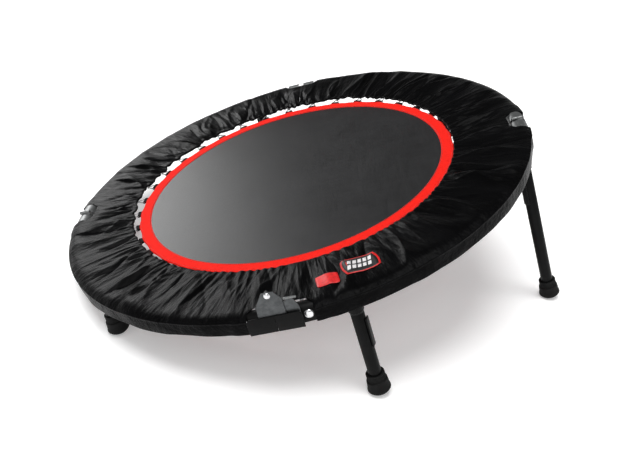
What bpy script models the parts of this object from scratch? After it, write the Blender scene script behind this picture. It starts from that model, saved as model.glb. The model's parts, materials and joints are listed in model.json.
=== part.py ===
"""Mini trampoline: a sloping 40-inch rebounder on six screw-in legs.

The round frame is four quarter tubes joined by four hinges. The back half folds up over the front
half about the two low hinges, and the left half folds over the right half about the tall front hinge.

Everything is modelled in the slope frame, whose XY plane holds the frame's centre line:
x runs up the slope, y to the back, z along the frame's normal, and azimuths turn anticlockwise from x.
"""
import math

import bmesh
import bpy
from mathutils import Matrix, Vector

# Driving dimensions, metres and radians
SLOPE = math.radians(17.8)
CENTRE = Vector((-0.03095, 0.0, 0.203))  # frame centre above the floor, placed so the box is centred
RING_R = 0.490
TUBE_R = 0.0127
TUBE_WALL = 0.0015
SKIRT_OUTER_R = 0.508
SKIRT_HEM_R = 0.370
MAT_R = 0.3515
GAP = 0.0003

# Hinges: azimuth of each, and pivot heights above the frame's centre line
RIGHT, BACK, LEFT, FRONT = (math.radians(a) for a in (-15, 75, 165, 255))
LOW_PIVOT = 0.019
BACK_PIVOT = -0.019
HIGH_PIVOT = 2 * LOW_PIVOT - BACK_PIVOT
END_GAP = 0.001  # from each tube end to the fold line
QUARTER_STEPS = 12
QUARTER_SPAN = math.pi / 2 - 2 * END_GAP / RING_R
TUBE_SIDES = 12
LEAF_STEPS = 1
LEAF_SIDES = 8
LEAF_INNER_R = 0.0132
LEAF_THICK = 0.0018
LEAF_OUTER_R = LEAF_INNER_R + LEAF_THICK
LEAF_CHEEK = 0.008
KNUCKLE_R = 0.0037
KNUCKLE_REACH = 0.011
NECK = 1.6 * KNUCKLE_R
PIN_R = 0.0018
PIN_HOLE_R = 0.0022
PIN_HEAD_R = 0.0030
PIN_HEAD = 0.0015
FIXING_T = 0.054  # along the tube from the fold line to a fixing bolt
FIXING_R = 0.004
FIXING_HEAD_R = 0.0084
FIXING_HEAD = 0.0036
NUT_R = 0.0060
NUT = 0.0045

# Front hinge: radial spans outside the tube, then sizes along and above it
EAR_INNER = (0.0158, 0.0183)
EAR_OUTER = (0.0188, 0.0213)
FOOT_REACH = 0.0133  # how far into the leaf's outer cheek the foot block is let in
FOOT_HALF = 0.0070
COVER = (0.0218, 0.0236)  # upright cover in front of both plates
COVER_START = 0.0030
COVER_END = 0.0430
COVER_LOW = -0.0120
COVER_TOP = 0.0230
PIVOT_BOLT_R = 0.0038
PIVOT_HOLE_R = 0.0042
PIVOT_HEAD_R = 0.0070
PIVOT_HEAD_END = 0.0245
PIVOT_NUT_R = 0.0065
PIVOT_NUT_END = 0.0128

# Legs: azimuth and name; distances run down each leg from the frame's centre line
SPLAY = math.radians(3.5)
LEG_R = 0.0122
LEG_WALL = 0.0015
SOCKET_R = 0.0140
SOCKET_MOUTH = 0.030
SOCKET_FLOOR = 0.022
SOCKET_TOP = 0.009
STEM_R = 0.005
STEM_TOP = 0.0150
STEM_CHAMFER = 0.0006
LEG_PLUG = 0.003
TIP_DOME = 0.026
TIP_R = 0.0215
TIP_COLLAR_R = 0.0172
TIP_COLLAR = 0.020  # height of the collar's mouth above the dome's centre
SOLE_PRESS = 0.0015
ROUND_SIDES = 16
STRIP = Vector((0.003, 0.012, 0.060))
STRIP_TOP = 0.047
STRIP_TURN = {"front": 60, "back": 60, "right_front": -120, "right_back": -60}

# Soft parts and springs
MAT_THICK = 0.002
SEAM_TRIM = 0.0004
SPRINGS = 9  # in each quarter
SPRING_HALF = 0.0045
SPRING_THICK = 0.007
SPRING_STRIP = (0.0015, 0.012)  # beyond the edge of the mat
SPRING_END = RING_R - LEAF_OUTER_R - 0.0018
SKIRT_THICK = 0.0015
SKIRT_STEPS = 15
SKIRT_TRIM = 0.0005  # radians from each fold line
SKIRT_PROFILE = [(SKIRT_HEM_R, 0.0095), (0.395, 0.0125), (0.430, 0.0150), (0.470, 0.0164),
                 (0.490, 0.0167), (0.500, 0.0150), (0.5065, 0.0095), (SKIRT_OUTER_R, 0.002),
                 (SKIRT_OUTER_R, -0.018)]
CUTOUT = Vector((0.050, 0.0685, 0.030))  # reach inward, half width, half height

# Azimuth where each quarter starts
QUARTERS = {"front_right": FRONT, "front_left": LEFT, "back_right": RIGHT, "back_left": BACK}
LEGS = {
    "right_front": ("front_right", math.radians(-30)),
    "front": ("front_right", math.radians(-90)),
    "left_front": ("front_left", math.radians(-150)),
    "right_back": ("back_right", math.radians(30)),
    "back": ("back_left", math.radians(90)),
    "left_back": ("back_left", math.radians(150)),
}
SHORT_LEGS = ("left_front", "left_back")

COLORS = {
    "black_paint": ((0.012, 0.012, 0.013), 0.35, 0.0),
    "zinc": ((0.32, 0.34, 0.36), 0.38, 0.9),
    "bright_bolt": ((0.75, 0.75, 0.76), 0.25, 0.95),
    "rubber": ((0.015, 0.015, 0.016), 0.75, 0.0),
    "spring_steel": ((0.55, 0.55, 0.56), 0.3, 0.95),
    "mat_fabric": ((0.035, 0.036, 0.040), 0.55, 0.0),
    "skirt_fabric": ((0.010, 0.010, 0.011), 0.5, 0.0),
}


# Scene set-up ---------------------------------------------------------------------------------

def clear_scene():
    for obj in list(bpy.data.objects):
        bpy.data.objects.remove(obj, do_unlink=True)


def new_collection(name):
    collection = bpy.data.collections.new(name)
    bpy.context.scene.collection.children.link(collection)
    return collection


def make_material(name):
    color, roughness, metallic = COLORS[name]
    material = bpy.data.materials.new(name)
    material.use_nodes = True
    shader = material.node_tree.nodes["Principled BSDF"]
    shader.inputs["Base Color"].default_value = (*color, 1.0)
    shader.inputs["Roughness"].default_value = roughness
    shader.inputs["Metallic"].default_value = metallic
    material.diffuse_color = (*color, 1.0)
    return material


clear_scene()
PARTS = new_collection("mini_trampoline")
CUTTERS = new_collection("cutters")
MATERIALS = {name: make_material(name) for name in COLORS}


def ring_frame(azimuth, along=0.0, up=0.0, radius=RING_R):
    """Frame at a hinge: x points outward, y anticlockwise along the tube, z along the normal."""
    return Matrix.Rotation(azimuth, 4, "Z") @ Matrix.Translation((radius, along, up))


def leg_frame(azimuth):
    """Frame at the top of a leg, on the centre line: -z runs down the leg, x outward."""
    return ring_frame(azimuth) @ Matrix.Rotation(-SPLAY, 4, "Y")


# Each body hangs on an empty that sits on its joint
PIVOTS = {
    "frame": (None, Vector((0, 0, 0))),
    "front_right": ("frame", Vector((0, 0, 0))),
    "front_left": ("frame", ring_frame(FRONT, up=HIGH_PIVOT).translation),
    "back_right": ("frame", ring_frame(RIGHT, up=LOW_PIVOT).translation),
    "back_left": ("front_left", ring_frame(LEFT, up=LOW_PIVOT).translation),
}
for leg_name, (quarter, leg_azimuth) in LEGS.items():
    PIVOTS["leg_" + leg_name] = (quarter, leg_frame(leg_azimuth) @ Vector((0, 0, -SOCKET_FLOOR)))


def make_pivots():
    empties = {}
    for name, (parent, point) in PIVOTS.items():
        empty = bpy.data.objects.new("pivot_" + name, None)
        empty.empty_display_size = 0.03
        PARTS.objects.link(empty)
        if parent:
            empty.parent = empties[parent]
            empty.location = point - PIVOTS[parent][1]
        else:
            empty.location = CENTRE
            empty.rotation_euler = (0, -SLOPE, 0)
        empties[name] = empty
    return empties


EMPTIES = make_pivots()


def place(obj, body, matrix):
    """Hang obj on a body's empty, at matrix in the slope frame."""
    obj.parent = EMPTIES[body]
    obj.matrix_local = Matrix.Translation(-PIVOTS[body][1]) @ matrix


def add_part(name, data, material, body, matrix):
    obj = bpy.data.objects.new(name, data)
    obj.data.materials.append(MATERIALS[material])
    PARTS.objects.link(obj)
    place(obj, body, matrix)
    return obj


def add_cutter(name, data, body, matrix):
    obj = bpy.data.objects.new(name, data)
    CUTTERS.objects.link(obj)
    place(obj, body, matrix)
    obj.hide_render = True
    obj.display_type = "WIRE"
    return obj


def combine(obj, other, operation):
    modifier = obj.modifiers.new(operation.lower(), "BOOLEAN")
    modifier.operation = operation
    modifier.object = other
    modifier.solver = "EXACT"


# Shapes ---------------------------------------------------------------------------------------

def mesh_from(name, build):
    mesh = bpy.data.meshes.new(name)
    bm = bmesh.new()
    build(bm)
    bmesh.ops.recalc_face_normals(bm, faces=bm.faces)
    bm.to_mesh(mesh)
    bm.free()
    return mesh


def box(name, low, high):
    low, high = Vector(low), Vector(high)
    size = Matrix.Diagonal((*(high - low), 1.0))
    matrix = Matrix.Translation((low + high) / 2) @ size
    return mesh_from(name, lambda bm: bmesh.ops.create_cube(bm, size=1.0, matrix=matrix))


def rod_x(name, radius, start, end, along=0.0, up=0.0, segments=16):
    """Cylinder along x from start to end."""
    centre = Matrix.Translation(((start + end) / 2, along, up))
    matrix = centre @ Matrix.Rotation(math.pi / 2, 4, "Y")

    def build(bm):
        bmesh.ops.create_cone(bm, cap_ends=True, segments=segments, radius1=radius,
                              radius2=radius, depth=abs(end - start), matrix=matrix)
    return mesh_from(name, build)


def profile_mesh(name, points, closed=False):
    """A line through (radius, height) points, in the XZ plane."""
    edges = [(i, i + 1) for i in range(len(points) - 1)]
    if closed:
        edges.append((len(points) - 1, 0))
    mesh = bpy.data.meshes.new(name)
    mesh.from_pydata([(r, 0.0, z) for r, z in points], edges, [])
    return mesh


def screw(obj, steps, angle=2 * math.pi):
    modifier = obj.modifiers.new("turn", "SCREW")
    modifier.angle = angle
    modifier.steps = steps
    modifier.render_steps = steps
    modifier.use_merge_vertices = angle > 6.28
    modifier.merge_threshold = 0.00005


def solidify(obj, thickness, offset):
    modifier = obj.modifiers.new("thickness", "SOLIDIFY")
    modifier.thickness = thickness
    modifier.offset = offset
    modifier.use_even_offset = True


def turned(name, points, steps, material, body, matrix, closed=False):
    """A solid turned about its own z axis; points run down its outer side."""
    obj = add_part(name, profile_mesh(name, points, closed), material, body, matrix)
    screw(obj, steps)
    return obj


def swept(name, points, start, angle, steps, thickness, offset, material, body, closed=False):
    """A profile swept round the ring from azimuth start, with a wall of the given thickness."""
    matrix = Matrix.Rotation(start, 4, "Z")
    obj = add_part(name, profile_mesh(name, points, closed), material, body, matrix)
    screw(obj, steps, angle)
    solidify(obj, thickness, offset)
    return obj


def flat_outline(name, points, thickness, material, body, matrix):
    """A flat plate from a closed outline in its own XY plane."""
    curve = bpy.data.curves.new(name, "CURVE")
    curve.dimensions = "2D"
    curve.fill_mode = "BOTH"
    curve.extrude = thickness / 2
    spline = curve.splines.new("POLY")
    spline.points.add(len(points) - 1)
    for point, (x, y) in zip(spline.points, points):
        point.co = (x, y, 0.0, 1.0)
    spline.use_cyclic_u = True
    return add_part(name, curve, material, body, matrix)


def arc(radius, start, end, count, centre=(0.0, 0.0)):
    """Points on a circle, count steps from angle start to end."""
    angles = (start + (end - start) * i / count for i in range(count + 1))
    return [(centre[0] + radius * math.cos(a), centre[1] + radius * math.sin(a)) for a in angles]


def prism(name, outline, low, high):
    """A prism: outline in the YZ plane, from x = low to x = high."""
    def build(bm):
        verts = [bm.verts.new((low, y, z)) for y, z in outline]
        face = bm.faces.new(verts)
        moved = bmesh.ops.extrude_face_region(bm, geom=[face])["geom"]
        top = [v for v in moved if isinstance(v, bmesh.types.BMVert)]
        bmesh.ops.translate(bm, verts=top, vec=(high - low, 0, 0))
    return mesh_from(name, build)


# Frame tubes ----------------------------------------------------------------------------------

def frame_tube(quarter, start):
    circle = [(RING_R + x, z) for x, z in arc(TUBE_R, 0, -2 * math.pi, TUBE_SIDES)[:-1]]
    return swept("frame_tube_" + quarter, circle, start + END_GAP / RING_R, QUARTER_SPAN,
                 QUARTER_STEPS, TUBE_WALL, -1.0, "black_paint", quarter, closed=True)


# Hinges ---------------------------------------------------------------------------------------

def saddle(name, hinge, side, quarter, flip=1):
    """Leaf over the end of a tube: side is +1 for the tube anticlockwise of the hinge."""
    turn = QUARTER_SPAN * LEAF_STEPS / QUARTER_STEPS
    first = END_GAP / RING_R if side > 0 else -END_GAP / RING_R - turn
    top = arc(LEAF_OUTER_R, math.pi, 0, LEAF_SIDES)
    points = [(-LEAF_OUTER_R, -LEAF_CHEEK)] + top + [(LEAF_OUTER_R, -LEAF_CHEEK)]
    points = [(RING_R + x, flip * z) for x, z in points]
    if flip < 0:
        points.reverse()
    return swept(name, points, hinge + first, turn, LEAF_STEPS, LEAF_THICK, -1.0, "zinc", quarter)


def add_knuckle(leaf, hinge, side, quarter, reach, pivot):
    """Barrel on the pivot and the neck that carries it, on the radial half that reach spans."""
    frame = ring_frame(hinge)
    low, high = sorted(reach)
    barrel = add_cutter(leaf.name + "_barrel", rod_x("barrel", KNUCKLE_R, low, high, up=pivot),
                        quarter, frame)
    root = math.copysign(LEAF_OUTER_R - LEAF_THICK / 2, pivot)
    edges = sorted((side * GAP, side * NECK))
    heights = sorted((root, pivot - math.copysign(2 * GAP, pivot)))
    neck_box = box("neck", (low + GAP, edges[0], heights[0]), (high - GAP, edges[1], heights[1]))
    neck = add_cutter(leaf.name + "_neck", neck_box, quarter, frame)
    hole_rod = rod_x("pin_hole", PIN_HOLE_R, low - PIN_R, high + PIN_R, up=pivot)
    hole = add_cutter(leaf.name + "_pin_hole", hole_rod, quarter, frame)
    combine(leaf, neck, "UNION")
    combine(leaf, barrel, "UNION")
    combine(leaf, hole, "DIFFERENCE")


def hinge_pin(name, hinge, pivot, quarter):
    """Radial pin with a small head at each end."""
    head = KNUCKLE_REACH + PIN_HEAD
    half = KNUCKLE_REACH + GAP
    points = [(0, head), (PIN_HEAD_R, head), (PIN_HEAD_R, half), (PIN_R, half)]
    points += [(r, -z) for r, z in reversed(points)]
    frame = ring_frame(hinge, up=pivot) @ Matrix.Rotation(math.pi / 2, 4, "Y")
    return turned(name, points, 10, "bright_bolt", quarter, frame)


def low_hinge(name, hinge, before, after, pivot, flip=1):
    """Two leaves on one radial pin: before is the quarter clockwise of the hinge."""
    leaf_before = saddle(f"hinge_{name}_leaf_{before}", hinge, -1, before, flip)
    leaf_after = saddle(f"hinge_{name}_leaf_{after}", hinge, 1, after, flip)
    inner, outer = (-KNUCKLE_REACH, -GAP / 2), (GAP / 2, KNUCKLE_REACH)
    add_knuckle(leaf_before, hinge, -1, before, outer, pivot)
    add_knuckle(leaf_after, hinge, 1, after, inner, pivot)
    hinge_pin(f"hinge_{name}_pin", hinge, pivot, before)
    return leaf_before, leaf_after


def open_knuckle(leaf, hinge, side, quarter, pivot):
    """Cut the half of the barrel that faces the hinge plane away, so it hooks over the pin."""
    reach = 1.5 * KNUCKLE_R
    edges = sorted((-side * reach, side * GAP))
    notch_box = box("notch", (-0.02, edges[0], pivot - reach), (0.02, edges[1], pivot + reach))
    combine(leaf, add_cutter(leaf.name + "_notch", notch_box, quarter, ring_frame(hinge)),
            "DIFFERENCE")


def ear_outline_inner():
    """Small plate: a wide foot on the right and an arm up to the pivot."""
    arm = arc(0.010, math.radians(-40), math.radians(200), 10, (0.0, HIGH_PIVOT))
    return [(0.003, -0.008), (0.038, -0.008), (0.044, 0.004), (0.036, 0.018), (0.019, 0.024)] + arm


def ear_outline_outer():
    """Domed plate, wider on the left, with chamfered shoulders and a narrower foot."""
    dome = [(0.023, 0.016), (0.023, 0.050), (0.012, 0.064), (0.002, 0.068), (-0.009, 0.067)]
    return [(-0.030, -0.008), (-0.004, -0.008), (-0.003, 0.014)] + dome + [(-0.028, 0.048)]


def add_ear(leaf, quarter, side, outline, plate):
    """Upright plate outside the leaf, held by a foot block, with a cover in front of both."""
    frame = ring_frame(FRONT)
    ear = add_cutter(leaf.name + "_ear", prism("ear", outline, *plate), quarter, frame)
    low, high = sorted((side * COVER_START, side * COVER_END))
    foot_box = box("foot", (FOOT_REACH, low, -FOOT_HALF), (COVER[1], high, FOOT_HALF))
    foot = add_cutter(leaf.name + "_foot", foot_box, quarter, frame)
    cover_box = box("cover", (COVER[0], low - GAP, COVER_LOW), (COVER[1] + GAP, high + GAP, COVER_TOP))
    cover = add_cutter(leaf.name + "_cover", cover_box, quarter, frame)
    hole_rod = rod_x("pivot_hole", PIVOT_HOLE_R, 0.012, 0.026, up=HIGH_PIVOT)
    hole = add_cutter(leaf.name + "_pivot_hole", hole_rod, quarter, frame)
    for solid in (foot, ear, cover):
        combine(leaf, solid, "UNION")
    combine(leaf, hole, "DIFFERENCE")


def front_hinge():
    """The tall hinge: both ears outside the tube, turning on one bolt above everything folded."""
    left = saddle("hinge_front_leaf_front_left", FRONT, -1, "front_left")
    right = saddle("hinge_front_leaf_front_right", FRONT, 1, "front_right")
    add_ear(right, "front_right", 1, ear_outline_inner(), EAR_INNER)
    add_ear(left, "front_left", -1, ear_outline_outer(), EAR_OUTER)
    head_seat, nut_seat = EAR_OUTER[1] + GAP, EAR_INNER[0] - GAP
    points = [(0, PIVOT_HEAD_END), (0.7 * PIVOT_HEAD_R, PIVOT_HEAD_END - GAP),
              (PIVOT_HEAD_R, PIVOT_HEAD_END - 5 * GAP), (PIVOT_HEAD_R, head_seat),
              (PIVOT_BOLT_R, head_seat), (PIVOT_BOLT_R, nut_seat), (PIVOT_NUT_R, nut_seat),
              (PIVOT_NUT_R, PIVOT_NUT_END), (0, PIVOT_NUT_END)]
    frame = ring_frame(FRONT, up=HIGH_PIVOT) @ Matrix.Rotation(math.pi / 2, 4, "Y")
    turned("hinge_front_pivot_bolt", points, 12, "bright_bolt", "front_right", frame)
    return left, right


def fixing_bolt(leaf, tube, hinge, side, quarter):
    """Dome-headed bolt through the leaf's cheeks and the tube, with a dome nut inside."""
    half = QUARTER_SPAN * LEAF_STEPS / QUARTER_STEPS / 2
    middle = END_GAP / RING_R + half
    frame = ring_frame(hinge + side * middle, along=side * (FIXING_T - middle * RING_R),
                       radius=RING_R * math.cos(half))
    name = leaf.name.replace("leaf", "bolt")
    hole_rod = rod_x("bolt_hole", FIXING_R + 2 * GAP, -0.02, 0.02, segments=10)
    hole = add_cutter(name + "_hole", hole_rod, quarter, frame)
    combine(leaf, hole, "DIFFERENCE")
    combine(tube, hole, "DIFFERENCE")
    seat = LEAF_OUTER_R + GAP
    head = [(0, seat + FIXING_HEAD), (0.65 * FIXING_HEAD_R, seat + 0.83 * FIXING_HEAD),
            (FIXING_HEAD_R, seat + 0.22 * FIXING_HEAD), (FIXING_HEAD_R, seat), (FIXING_R, seat)]
    nut = [(FIXING_R, -seat), (NUT_R, -seat), (0.92 * NUT_R, -seat - 0.9 * NUT),
           (0, -seat - NUT)]
    turned(name, head + nut, 12, "bright_bolt", quarter,
           frame @ Matrix.Rotation(math.pi / 2, 4, "Y"))


# Legs -----------------------------------------------------------------------------------------

def dome_centre(azimuth):
    """Distance down the leg to the centre of the tip's dome, so the sole is pressed flat at z = 0."""
    top = CENTRE.z + RING_R * math.cos(azimuth) * math.sin(SLOPE)
    fall = (math.cos(SPLAY) * math.cos(SLOPE)
            - math.sin(SPLAY) * math.cos(azimuth) * math.sin(SLOPE))
    return (top - TIP_DOME + SOLE_PRESS) / fall


def leg_socket(name, quarter, azimuth):
    frame = leg_frame(azimuth)
    hole = STEM_R + GAP
    bore = LEG_R + GAP
    points = [(hole, -SOCKET_TOP), (SOCKET_R, -SOCKET_TOP), (SOCKET_R, -SOCKET_MOUTH),
              (bore, -SOCKET_MOUTH), (bore, -SOCKET_FLOOR), (hole, -SOCKET_FLOOR)]
    socket = turned("leg_socket_" + name, points, ROUND_SIDES, "black_paint", quarter, frame,
                    closed=True)
    cope_mesh = rod_x("cope", TUBE_R + 4 * GAP, -0.03, 0.03)
    across = ring_frame(azimuth) @ Matrix.Rotation(math.pi / 2, 4, "Z")
    combine(socket, add_cutter("cope_" + name, cope_mesh, quarter, across), "DIFFERENCE")


def leg_tube(name, azimuth, end):
    body = "leg_" + name
    frame = leg_frame(azimuth)
    shoulder = SOCKET_FLOOR + GAP
    inside = LEG_R - LEG_WALL
    plug = shoulder + LEG_PLUG
    points = [(0, -STEM_TOP), (STEM_R - STEM_CHAMFER, -STEM_TOP),
              (STEM_R, -STEM_TOP - STEM_CHAMFER), (STEM_R, -shoulder), (LEG_R, -shoulder),
              (LEG_R, -end), (inside, -end), (inside, -plug), (0, -plug)]
    turned("leg_tube_" + name, points, ROUND_SIDES, "black_paint", body, frame)


def rubber_tip(name, azimuth, centre, floor):
    body = "leg_" + name
    bore = LEG_R + GAP
    bottom = centre + 0.0043
    rim = math.asin(TIP_R / TIP_DOME)
    dome = [(TIP_DOME * math.sin(a), -centre - TIP_DOME * math.cos(a))
            for a in (rim * (1 - i / 4) for i in range(5))]
    dome[-1] = (0, dome[-1][1])
    points = [(bore, -bottom), (bore, -centre + TIP_COLLAR), (TIP_COLLAR_R, -centre + TIP_COLLAR),
              (TIP_COLLAR_R, -centre + 0.009), (0.0160, -centre + 0.007), (0.0195, -centre + 0.005)]
    points = [(0, -bottom)] + points + dome
    tip = turned("rubber_tip_" + name, points, ROUND_SIDES, "rubber", body, leg_frame(azimuth))
    combine(tip, floor, "DIFFERENCE")


def leg_strip(name, azimuth):
    """Flat bar down one side of the leg, below its socket."""
    low = Vector((LEG_R + GAP, -STRIP.y / 2, -STRIP_TOP - STRIP.z))
    high = low + STRIP
    data = box("leg_strip", low, high)
    add_part("leg_strip_" + name, data, "black_paint", "leg_" + name,
             leg_frame(azimuth) @ Matrix.Rotation(math.radians(STRIP_TURN[name]), 4, "Z"))


def make_legs():
    floor = add_cutter("floor", box("floor", (-0.7, -0.7, -0.1), (0.7, 0.7, 0.0)), "frame",
                       Matrix())
    floor.parent = None
    floor.matrix_world = Matrix()
    for name, (quarter, azimuth) in LEGS.items():
        centre = dome_centre(azimuth)
        leg_socket(name, quarter, azimuth)
        leg_tube(name, azimuth, centre + 0.004)
        rubber_tip(name, azimuth, centre, floor)
        if name not in SHORT_LEGS:
            leg_strip(name, azimuth)


# Soft parts and springs -----------------------------------------------------------------------

def mat_quarter(quarter, start):
    """A quarter of the jumping mat and its band, cut just short of the fold lines."""
    trim = 0.0008
    points = [(SEAM_TRIM, SEAM_TRIM)] + arc(MAT_R, trim, math.pi / 2 - trim, 16)
    flat_outline("mat_" + quarter, points, MAT_THICK, "mat_fabric", quarter,
                 Matrix.Rotation(start, 4, "Z"))


def springs_quarter(quarter, start):
    """Nine springs and their eyes as one comb; the strip runs along the edge of the mat."""
    inner, strip_r = (MAT_R + beyond for beyond in SPRING_STRIP)
    trim = 0.003
    points = arc(strip_r, trim, trim, 1)[:1]
    for i in range(SPRINGS):
        centre = math.pi / 2 * (i + 0.5) / SPRINGS
        for radius, sign in ((strip_r, -1), (SPRING_END, -1), (SPRING_END, 1), (strip_r, 1)):
            angle = centre + sign * SPRING_HALF / radius
            points.append((radius * math.cos(angle), radius * math.sin(angle)))
    points += arc(strip_r, math.pi / 2 - trim, math.pi / 2 - trim, 1)[:1]
    points += arc(inner, math.pi / 2 - trim, trim, 12)
    flat_outline("springs_" + quarter, points, SPRING_THICK, "spring_steel", quarter,
                 Matrix.Rotation(start, 4, "Z"))


def skirt_quarter(quarter, start):
    """A quarter of the skirt, cut out at both hinges."""
    skirt = swept("skirt_" + quarter, SKIRT_PROFILE, start + SKIRT_TRIM,
                  math.pi / 2 - 2 * SKIRT_TRIM, SKIRT_STEPS, SKIRT_THICK, -1.0, "skirt_fabric",
                  quarter)
    for edge in (start, start + math.pi / 2):
        combine(skirt, cutout(quarter, edge), "DIFFERENCE")


def cutout(quarter, azimuth):
    """Block that clears a hinge."""
    high = (CUTOUT.z, CUTOUT.y, CUTOUT.z)
    return add_cutter(f"cutout_{quarter}_{round(math.degrees(azimuth))}",
                      box("cutout", -CUTOUT, high), quarter, ring_frame(azimuth))


# Assembly -------------------------------------------------------------------------------------

def main():
    tubes = {}
    for quarter, start in QUARTERS.items():
        tubes[quarter] = frame_tube(quarter, start)
        mat_quarter(quarter, start)
        springs_quarter(quarter, start)
        skirt_quarter(quarter, start)
    leaves = [(*low_hinge("right", RIGHT, "front_right", "back_right", LOW_PIVOT), RIGHT)]
    leaves.append((*low_hinge("left", LEFT, "back_left", "front_left", LOW_PIVOT), LEFT))
    back = low_hinge("back", BACK, "back_right", "back_left", BACK_PIVOT, flip=-1)
    open_knuckle(back[1], BACK, 1, "back_left", BACK_PIVOT)
    leaves.append((*back, BACK))
    leaves.append((*front_hinge(), FRONT))
    for before, after, hinge in leaves:
        for leaf, side in ((before, -1), (after, 1)):
            quarter = leaf.name.split("leaf_")[1]
            fixing_bolt(leaf, tubes[quarter], hinge, side, quarter)
    make_legs()
    for obj in PARTS.objects:
        if obj.type == "MESH":
            obj.data.shade_smooth()
            obj.data.set_sharp_from_angle(angle=math.radians(35))


main()
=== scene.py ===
import json
import math
from contextlib import contextmanager

import bmesh
import bpy
import numpy as np
from mathutils import Matrix, Quaternion, Vector
from mathutils.bvhtree import BVHTree


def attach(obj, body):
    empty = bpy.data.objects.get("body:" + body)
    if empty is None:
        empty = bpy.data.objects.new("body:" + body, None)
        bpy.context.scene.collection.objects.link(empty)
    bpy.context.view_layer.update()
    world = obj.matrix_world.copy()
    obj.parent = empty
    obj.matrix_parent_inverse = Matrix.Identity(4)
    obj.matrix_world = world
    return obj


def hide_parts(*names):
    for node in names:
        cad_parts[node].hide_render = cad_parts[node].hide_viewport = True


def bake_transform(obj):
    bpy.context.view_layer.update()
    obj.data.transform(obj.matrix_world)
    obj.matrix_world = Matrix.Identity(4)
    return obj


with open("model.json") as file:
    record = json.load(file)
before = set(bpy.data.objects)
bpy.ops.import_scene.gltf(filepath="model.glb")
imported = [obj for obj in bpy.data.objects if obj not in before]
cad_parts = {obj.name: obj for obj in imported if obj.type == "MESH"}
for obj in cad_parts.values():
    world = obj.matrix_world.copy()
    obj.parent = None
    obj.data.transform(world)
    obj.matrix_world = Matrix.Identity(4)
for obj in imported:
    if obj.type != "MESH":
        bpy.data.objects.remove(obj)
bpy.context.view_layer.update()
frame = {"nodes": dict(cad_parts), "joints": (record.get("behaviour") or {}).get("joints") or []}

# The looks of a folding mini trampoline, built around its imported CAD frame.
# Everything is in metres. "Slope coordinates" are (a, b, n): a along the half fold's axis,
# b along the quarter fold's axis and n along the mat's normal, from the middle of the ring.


# The ring's own frame, read from the joints ---------------

JOINTS = {joint["name"]: joint for joint in frame["joints"]}
RIGHT_PIVOT = Vector(JOINTS["fold_half"]["pos_m"])
LEFT_PIVOT = Vector(JOINTS["fold_half_left"]["pos_m"])
FRONT_PIVOT = Vector(JOINTS["fold_quarter"]["pos_m"])
ACROSS = Vector(JOINTS["fold_half"]["axis"]).normalized()
BACKWARD = -Vector(JOINTS["fold_quarter"]["axis"]).normalized()
NORMAL = ACROSS.cross(BACKWARD)
AXES = np.array([ACROSS, BACKWARD, NORMAL])
LOW_PIVOT = 0.019
BACK_PIVOT = -0.019
CENTRE = (RIGHT_PIVOT + LEFT_PIVOT) / 2 - LOW_PIVOT * NORMAL
HIGH_PIVOT = (FRONT_PIVOT - CENTRE).dot(NORMAL)
RING_R = (RIGHT_PIVOT - LEFT_PIVOT).length / 2
TUBE_R = 0.0127
BLEND_WIDTH = 0.028

RIGHT, BACK, LEFT, FRONT = (math.radians(angle) for angle in (0, 90, 180, 270))
QUARTERS = {"back_right": RIGHT, "back_left": BACK, "front_left": LEFT, "front_right": FRONT}
LEGS = {
    "right_front": ("front_right", -15),
    "front": ("front_right", -75),
    "left_front": ("front_left", -135),
    "right_back": ("back_right", 45),
    "back": ("back_left", 105),
    "left_back": ("back_left", 165),
}


def to_world(points):
    """Slope coordinates to the row frame."""
    return np.asarray(points, float) @ AXES + np.array(CENTRE)


def ring_points(angle, radius, height):
    """Points at these angles, radii and heights round the ring, in the row frame."""
    angle, radius, height = np.broadcast_arrays(angle, radius, height)
    local = np.stack([radius * np.cos(angle), radius * np.sin(angle), height], -1)
    return to_world(local)


def ring_axes(angle, radius=RING_R, height=0.0):
    """A place on the ring, the way outward there and the way anticlockwise along the tube."""
    outward = ACROSS * math.cos(angle) + BACKWARD * math.sin(angle)
    place = CENTRE + outward * radius + NORMAL * height
    return place, outward, NORMAL.cross(outward)


def ring_frame(angle, radius=RING_R, height=0.0):
    """Matrix at a place on the ring: x outward, y anticlockwise along the tube, z up the normal."""
    place, outward, along = ring_axes(angle, radius, height)
    rows = [[column[row] for column in (outward, along, NORMAL, place)] for row in range(3)]
    return Matrix(rows + [[0, 0, 0, 1]])


def around(count):
    """Angles evenly round a circle."""
    return np.linspace(0, 2 * math.pi, count, endpoint=False)


# Materials ------------------------------------------------

def add_node(tree, kind, inputs=(), **settings):
    """A node whose inputs are values or other nodes' sockets."""
    node = tree.nodes.new(kind)
    for name, value in settings.items():
        setattr(node, name, value)
    for name, value in dict(inputs).items():
        if isinstance(value, bpy.types.NodeSocket):
            tree.links.new(value, node.inputs[name])
        else:
            node.inputs[name].default_value = value
    return node


def maths(tree, operation, first, second=0.0):
    return add_node(tree, "ShaderNodeMath", {0: first, 1: second}, operation=operation).outputs[0]


def times(tree, first, second):
    return maths(tree, "MULTIPLY", first, second)


def plus(tree, first, second):
    return maths(tree, "ADD", first, second)


def grey(level):
    return level, level, level


def new_material(name, color, roughness, metallic=0.0, **sockets):
    """A material and its node tree, ready for detail."""
    material = bpy.data.materials.new(name)
    material.use_nodes = True
    material.diffuse_color = (*color, 1.0)
    inputs = material.node_tree.nodes["Principled BSDF"].inputs
    inputs["Base Color"].default_value = (*color, 1.0)
    inputs["Roughness"].default_value = roughness
    inputs["Metallic"].default_value = metallic
    for socket, value in sockets.items():
        inputs[socket.replace("_", " ")].default_value = value
    return material, material.node_tree


def object_place(tree):
    return add_node(tree, "ShaderNodeTexCoord").outputs["Object"]


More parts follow.
